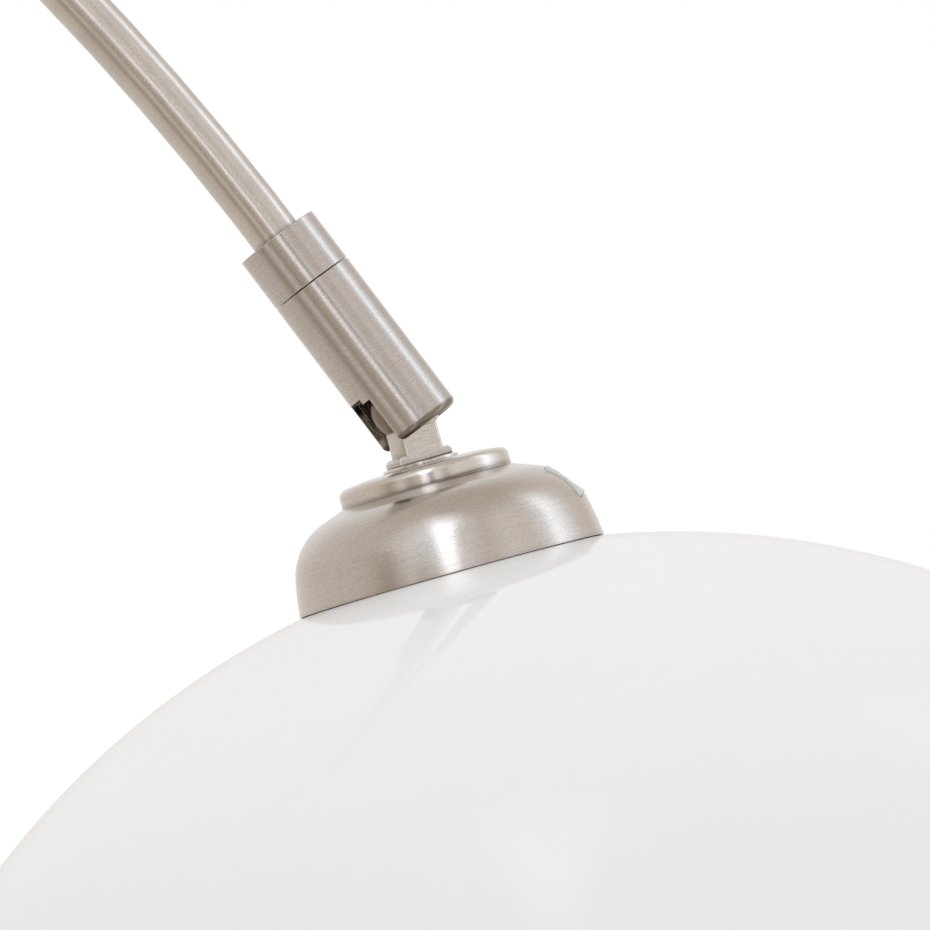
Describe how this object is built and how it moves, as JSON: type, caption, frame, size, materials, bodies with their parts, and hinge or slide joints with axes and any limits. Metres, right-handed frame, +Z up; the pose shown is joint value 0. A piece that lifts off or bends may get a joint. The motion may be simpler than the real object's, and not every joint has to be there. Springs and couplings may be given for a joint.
{
  "type": "arc floor lamp",
  "caption": "Arc floor lamp: round weighted base, pole and long curved tube in brushed nickel, opal dome shade on a swivelling ball joint with a bell cap.",
  "frame": {"origin": "on the floor under the middle of the round base", "axes": "+Z up; the bow lies in the XZ plane with the shade on the +X side; +Y completes the frame"},
  "size_m": [2.1048, 0.549, 2.073],
  "materials": {
    "nickel": "brushed warm nickel plate, grain round the turned parts",
    "bright_nickel": "bright turned nickel",
    "plated_steel": "zinc plated hardware",
    "cast_iron": "black painted casting",
    "rubber": "matt black rubber",
    "black_nylon": "matt black nylon",
    "opal": "glossy opal white acrylic",
    "white_plastic": "satin white moulding",
    "ceramic": "glazed ceramic",
    "brass": "plain brass",
    "lamp_base": "plain aluminium screw base",
    "globe": "opal glass"
  },
  "bodies": {
    "stand": {"base_pad": "rubber", "base_weight": "cast_iron", "base_cover": "nickel", "cord_gland": "rubber", "foot_stud": "plated_steel", "foot_washer": "plated_steel", "foot_nut": "plated_steel", "foot_locknut": "plated_steel", "pole_foot": "nickel", "lower_pole": "nickel", "pole_reducer": "nickel", "pole_bush": "black_nylon", "pole_grub_screws": "plated_steel", "rear_bow": "nickel", "front_bow": "nickel", "bow_spigot": "plated_steel", "bow_band": "nickel", "bow_grub_screws": "plated_steel", "tip_collar": "nickel", "tip_grub_screw": "plated_steel", "stop_pin": "plated_steel", "swivel_stud": "plated_steel", "swivel_locknut": "plated_steel", "friction_washer": "black_nylon", "thrust_washer": "plated_steel", "swivel_nut": "plated_steel"},
    "sleeve": {"swivel_sleeve": "nickel", "sleeve_plug": "plated_steel", "plug_grub_screw": "plated_steel", "pressure_cup": "black_nylon", "disc_springs": "plated_steel", "spring_spacer": "plated_steel"},
    "head": {"ball_head": "nickel", "knuckle_stem": "nickel", "cap_washer": "bright_nickel", "cap_nut": "plated_steel", "cap": "nickel", "shade": "opal", "shade_ring_upper": "black_nylon", "shade_ring_lower": "black_nylon", "lampholder_shell": "black_nylon", "lampholder_core": "ceramic", "screw_shell": "brass", "centre_contact": "brass", "bulb_base": "lamp_base", "bulb_globe": "globe", "switch_bezel": "white_plastic", "switch_body": "white_plastic", "rocker_pin": "plated_steel"},
    "rocker": {"switch_rocker": "white_plastic"}
  },
  "joints": [
    {"name": "sleeve_swivel", "type": "hinge", "parent": "stand", "child": "sleeve", "pos_m": [1.5488, 0, 1.51897], "axis": [-0.6039, 0, 0.7971], "range_deg": [-160, 160]},
    {"name": "head_tilt", "type": "hinge", "parent": "sleeve", "child": "head", "pos_m": [1.5488, 0, 1.51897], "axis": [-0.3999, 0.9097, -0.1117], "range_deg": [-28, 65]},
    {"name": "switch_rock", "type": "hinge", "parent": "head", "child": "rocker", "pos_m": [1.61624, 0, 1.48609], "axis": [0, -1, 0], "range_deg": [0, 16]}
  ]
}
